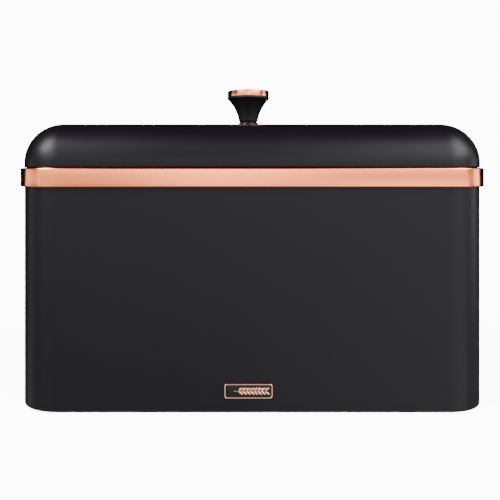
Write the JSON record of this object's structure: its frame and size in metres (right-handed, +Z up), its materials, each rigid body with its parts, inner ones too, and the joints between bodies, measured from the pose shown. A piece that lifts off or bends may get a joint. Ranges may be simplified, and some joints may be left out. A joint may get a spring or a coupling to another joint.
{
  "type": "bread bin",
  "caption": "Upright rectangular bread bin in black coated steel with rounded corners, a metallic trim band round its rim and a domed lift-off lid with a flared knob.",
  "frame": {"origin": "on the worktop, centred under the bin: the bottom centre of the bounding box", "axes": "+X along the width, to the right of someone facing the badge; +Y from the front to the back; +Z up"},
  "size_m": [0.346, 0.216, 0.2432],
  "materials": {
    "black_coating": "satin black powder coat on sheet steel",
    "rose_gold": "rose-gold plating, satin",
    "zinc_steel": "zinc plated",
    "grip_black": "satin black moulding",
    "brass": "turned",
    "black_enamel": "gloss black fill",
    "foam_tape": "matt foam tape",
    "rubber": "matt"
  },
  "bodies": {
    "bin": {"body_shell": "black_coating", "base_pan": "black_coating", "rim_wire": "zinc_steel", "trim_band": "rose_gold", "band_joiner": "zinc_steel", "band_rivets": "rose_gold", "badge_pad": "foam_tape", "badge_frame": "rose_gold", "badge_enamel": "black_enamel", "badge_wheat": "rose_gold", "foot_front_left": "rubber", "foot_front_right": "rubber", "foot_back_left": "rubber", "foot_back_right": "rubber"},
    "lid": {"lid_shell": "black_coating", "lid_locating_ring": "black_coating", "knob_collar": "black_coating", "knob_grip": "grip_black", "knob_cap": "rose_gold", "knob_insert": "brass", "knob_washer": "zinc_steel", "knob_screw": "zinc_steel"}
  },
  "joints": [
    {"name": "lid_lift", "type": "slide", "parent": "bin", "child": "lid", "axis": [0, 0, 1], "range_m": [0, 0.15]}
  ]
}
